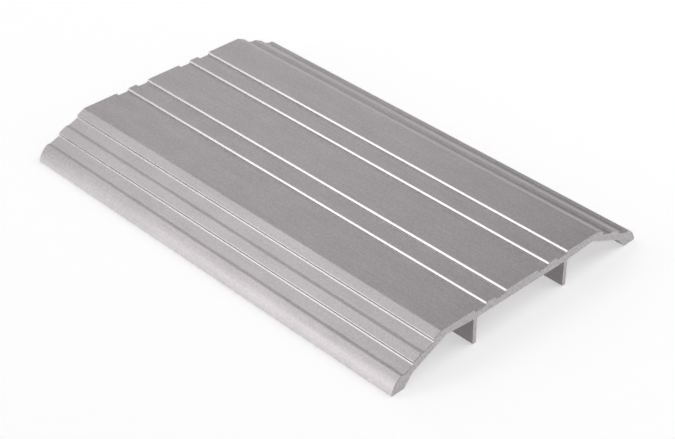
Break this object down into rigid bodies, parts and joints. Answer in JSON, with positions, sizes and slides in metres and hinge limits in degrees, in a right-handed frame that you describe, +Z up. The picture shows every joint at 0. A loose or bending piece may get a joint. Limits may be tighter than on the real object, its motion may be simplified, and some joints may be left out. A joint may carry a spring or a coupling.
{
  "type": "threshold strip",
  "caption": "Low aluminium saddle threshold with a grooved flat top, a fluted ramp and a rounded nose on each side, and supporting legs underneath.",
  "frame": {"origin": "on the floor plane, under the middle of the strip's length and width", "axes": "+X along the strip, across the doorway; +Y across the strip, in the direction of travel through the door; +Z up"},
  "size_m": [0.165, 0.108, 0.0127],
  "materials": {
    "mill_aluminium": "mill finish as extruded, satin, with faint lengthwise die lines"
  },
  "bodies": {
    "root": {"threshold_extrusion": "mill_aluminium"}
  },
  "joints": []
}
